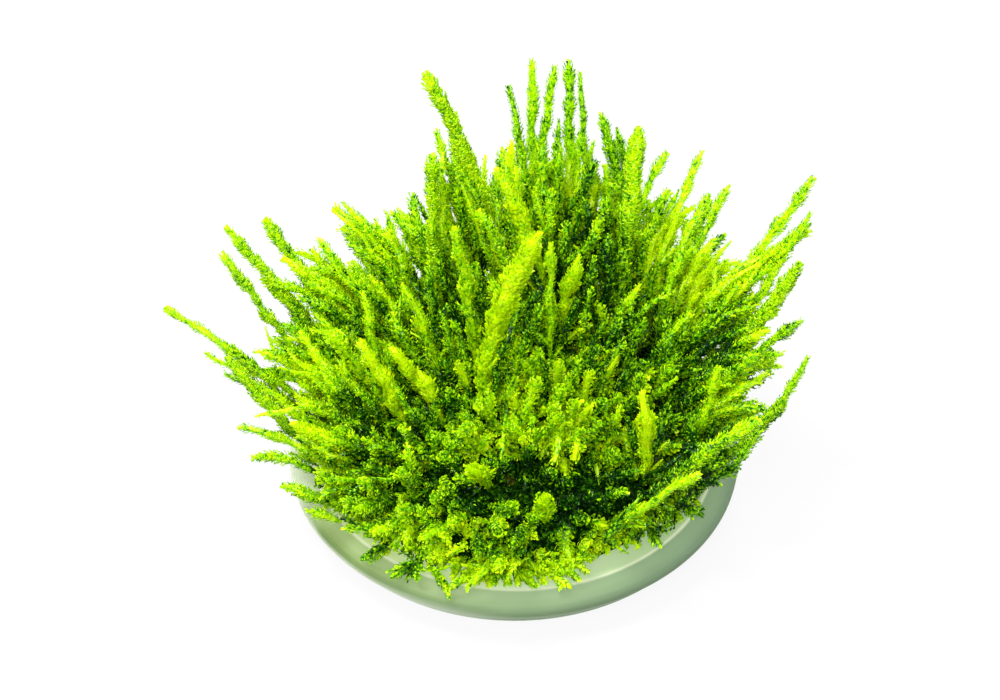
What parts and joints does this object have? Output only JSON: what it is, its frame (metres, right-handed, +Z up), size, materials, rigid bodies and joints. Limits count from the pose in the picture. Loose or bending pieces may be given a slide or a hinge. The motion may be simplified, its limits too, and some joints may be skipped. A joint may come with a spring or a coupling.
{
  "type": "moss clump",
  "caption": "Clump of leafy green moss shoots standing on a shallow tapered disc of translucent gel, which rests on its flat underside.",
  "frame": {"origin": "centre of the gel disc's flat underside", "axes": "+Z up out of the disc, +X to the right across the clump's widest reach, -Y towards its front, where most of the gel shows"},
  "size_m": [0.111, 0.0864, 0.071],
  "materials": {
    "gel": "wet, smooth, translucent pale green",
    "lower_moss": "dark wet green stems and small leaves",
    "moss_shoot": "fresh yellow-green leaves, thin and light-passing"
  },
  "bodies": {
    "root": {"gel_disc": "gel", "moss_mat": "lower_moss", "shoot_back_1": "moss_shoot", "shoot_back_10": "moss_shoot", "shoot_back_11": "moss_shoot", "shoot_back_2": "moss_shoot", "shoot_back_3": "moss_shoot", "shoot_back_4": "moss_shoot", "shoot_back_5": "moss_shoot", "shoot_back_6": "moss_shoot", "shoot_back_7": "moss_shoot", "shoot_back_8": "moss_shoot", "shoot_back_9": "moss_shoot", "shoot_front_1": "moss_shoot", "shoot_front_2": "moss_shoot", "shoot_front_3": "moss_shoot", "shoot_left_1": "moss_shoot", "shoot_left_2": "moss_shoot", "shoot_left_3": "moss_shoot", "shoot_left_4": "moss_shoot", "shoot_left_5": "moss_shoot", "shoot_left_6": "moss_shoot", "shoot_left_7": "moss_shoot", "shoot_left_8": "moss_shoot", "shoot_middle_1": "moss_shoot", "shoot_middle_10": "moss_shoot", "shoot_middle_11": "moss_shoot", "shoot_middle_2": "moss_shoot", "shoot_middle_3": "moss_shoot", "shoot_middle_4": "moss_shoot", "shoot_middle_5": "moss_shoot", "shoot_middle_6": "moss_shoot", "shoot_middle_7": "moss_shoot", "shoot_middle_8": "moss_shoot", "shoot_middle_9": "moss_shoot", "shoot_rear_1": "moss_shoot", "shoot_rear_2": "moss_shoot", "shoot_rear_3": "moss_shoot", "shoot_rear_4": "moss_shoot", "shoot_rear_5": "moss_shoot", "shoot_right_1": "moss_shoot", "shoot_right_10": "moss_shoot", "shoot_right_11": "moss_shoot", "shoot_right_12": "moss_shoot", "shoot_right_13": "moss_shoot", "shoot_right_2": "moss_shoot", "shoot_right_3": "moss_shoot", "shoot_right_4": "moss_shoot", "shoot_right_5": "moss_shoot", "shoot_right_6": "moss_shoot", "shoot_right_7": "moss_shoot", "shoot_right_8": "moss_shoot", "shoot_right_9": "moss_shoot"}
  },
  "joints": []
}
